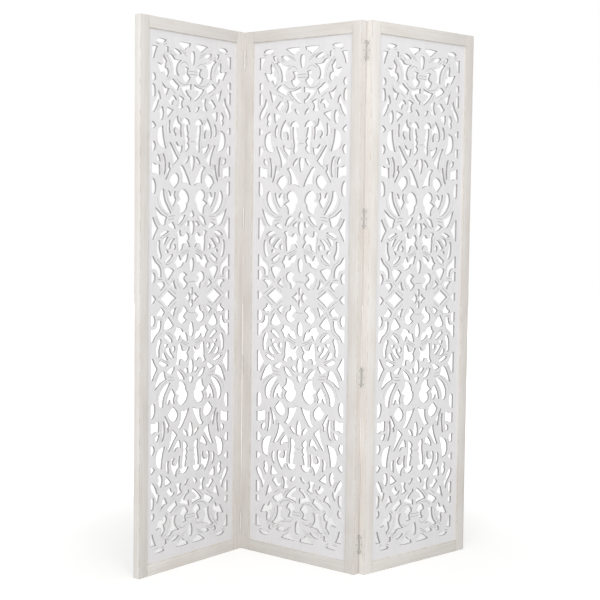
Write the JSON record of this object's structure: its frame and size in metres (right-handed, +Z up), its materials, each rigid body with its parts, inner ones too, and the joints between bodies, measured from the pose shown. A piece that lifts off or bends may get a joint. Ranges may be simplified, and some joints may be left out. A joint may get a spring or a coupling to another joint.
{
  "type": "folding screen",
  "caption": "Folding jali screen of pale washed wood: framed panels with a pierced, carved scroll and leaf fret, joined by butt hinges so that they stand in a zigzag.",
  "frame": {"origin": "on the floor under the middle of the box that bounds the standing screen", "axes": "+Z up, front faces towards -Y, +X to the right as seen from the front"},
  "size_m": [1.1222, 0.4194, 1.8],
  "materials": {
    "frame_wood": "whitewashed, matt, streaky grain",
    "fret_wood": "whitewashed, matt, carved",
    "hinge_metal": "satin"
  },
  "bodies": {
    "left_panel": {"left_panel_left_stile": "frame_wood", "left_panel_right_stile": "frame_wood", "left_panel_top_rail": "frame_wood", "left_panel_bottom_rail": "frame_wood", "left_panel_fret": "fret_wood", "left_hinge_1_moving_leaf": "hinge_metal", "left_hinge_2_moving_leaf": "hinge_metal", "left_hinge_3_moving_leaf": "hinge_metal", "left_hinge_4_moving_leaf": "hinge_metal"},
    "centre_panel": {"centre_panel_left_stile": "frame_wood", "centre_panel_right_stile": "frame_wood", "centre_panel_top_rail": "frame_wood", "centre_panel_bottom_rail": "frame_wood", "centre_panel_fret": "fret_wood", "left_hinge_1_fixed_leaf": "hinge_metal", "left_hinge_1_pin": "hinge_metal", "right_hinge_1_fixed_leaf": "hinge_metal", "right_hinge_1_pin": "hinge_metal", "left_hinge_2_fixed_leaf": "hinge_metal", "left_hinge_2_pin": "hinge_metal", "right_hinge_2_fixed_leaf": "hinge_metal", "right_hinge_2_pin": "hinge_metal", "left_hinge_3_fixed_leaf": "hinge_metal", "left_hinge_3_pin": "hinge_metal", "right_hinge_3_fixed_leaf": "hinge_metal", "right_hinge_3_pin": "hinge_metal", "left_hinge_4_fixed_leaf": "hinge_metal", "left_hinge_4_pin": "hinge_metal", "right_hinge_4_fixed_leaf": "hinge_metal", "right_hinge_4_pin": "hinge_metal"},
    "right_panel": {"right_panel_left_stile": "frame_wood", "right_panel_right_stile": "frame_wood", "right_panel_top_rail": "frame_wood", "right_panel_bottom_rail": "frame_wood", "right_panel_fret": "fret_wood", "right_hinge_1_moving_leaf": "hinge_metal", "right_hinge_2_moving_leaf": "hinge_metal", "right_hinge_3_moving_leaf": "hinge_metal", "right_hinge_4_moving_leaf": "hinge_metal"}
  },
  "joints": [
    {"name": "left_fold", "type": "hinge", "parent": "centre_panel", "child": "left_panel", "pos_m": [-0.22843, 0.18044, 0.9], "axis": [0, 0, 1], "range_deg": [-91.5, 88.5]},
    {"name": "right_fold", "type": "hinge", "parent": "centre_panel", "child": "right_panel", "pos_m": [0.17064, -0.12275, 0.9], "axis": [0, 0, 1], "range_deg": [-81.9, 98.1]}
  ]
}
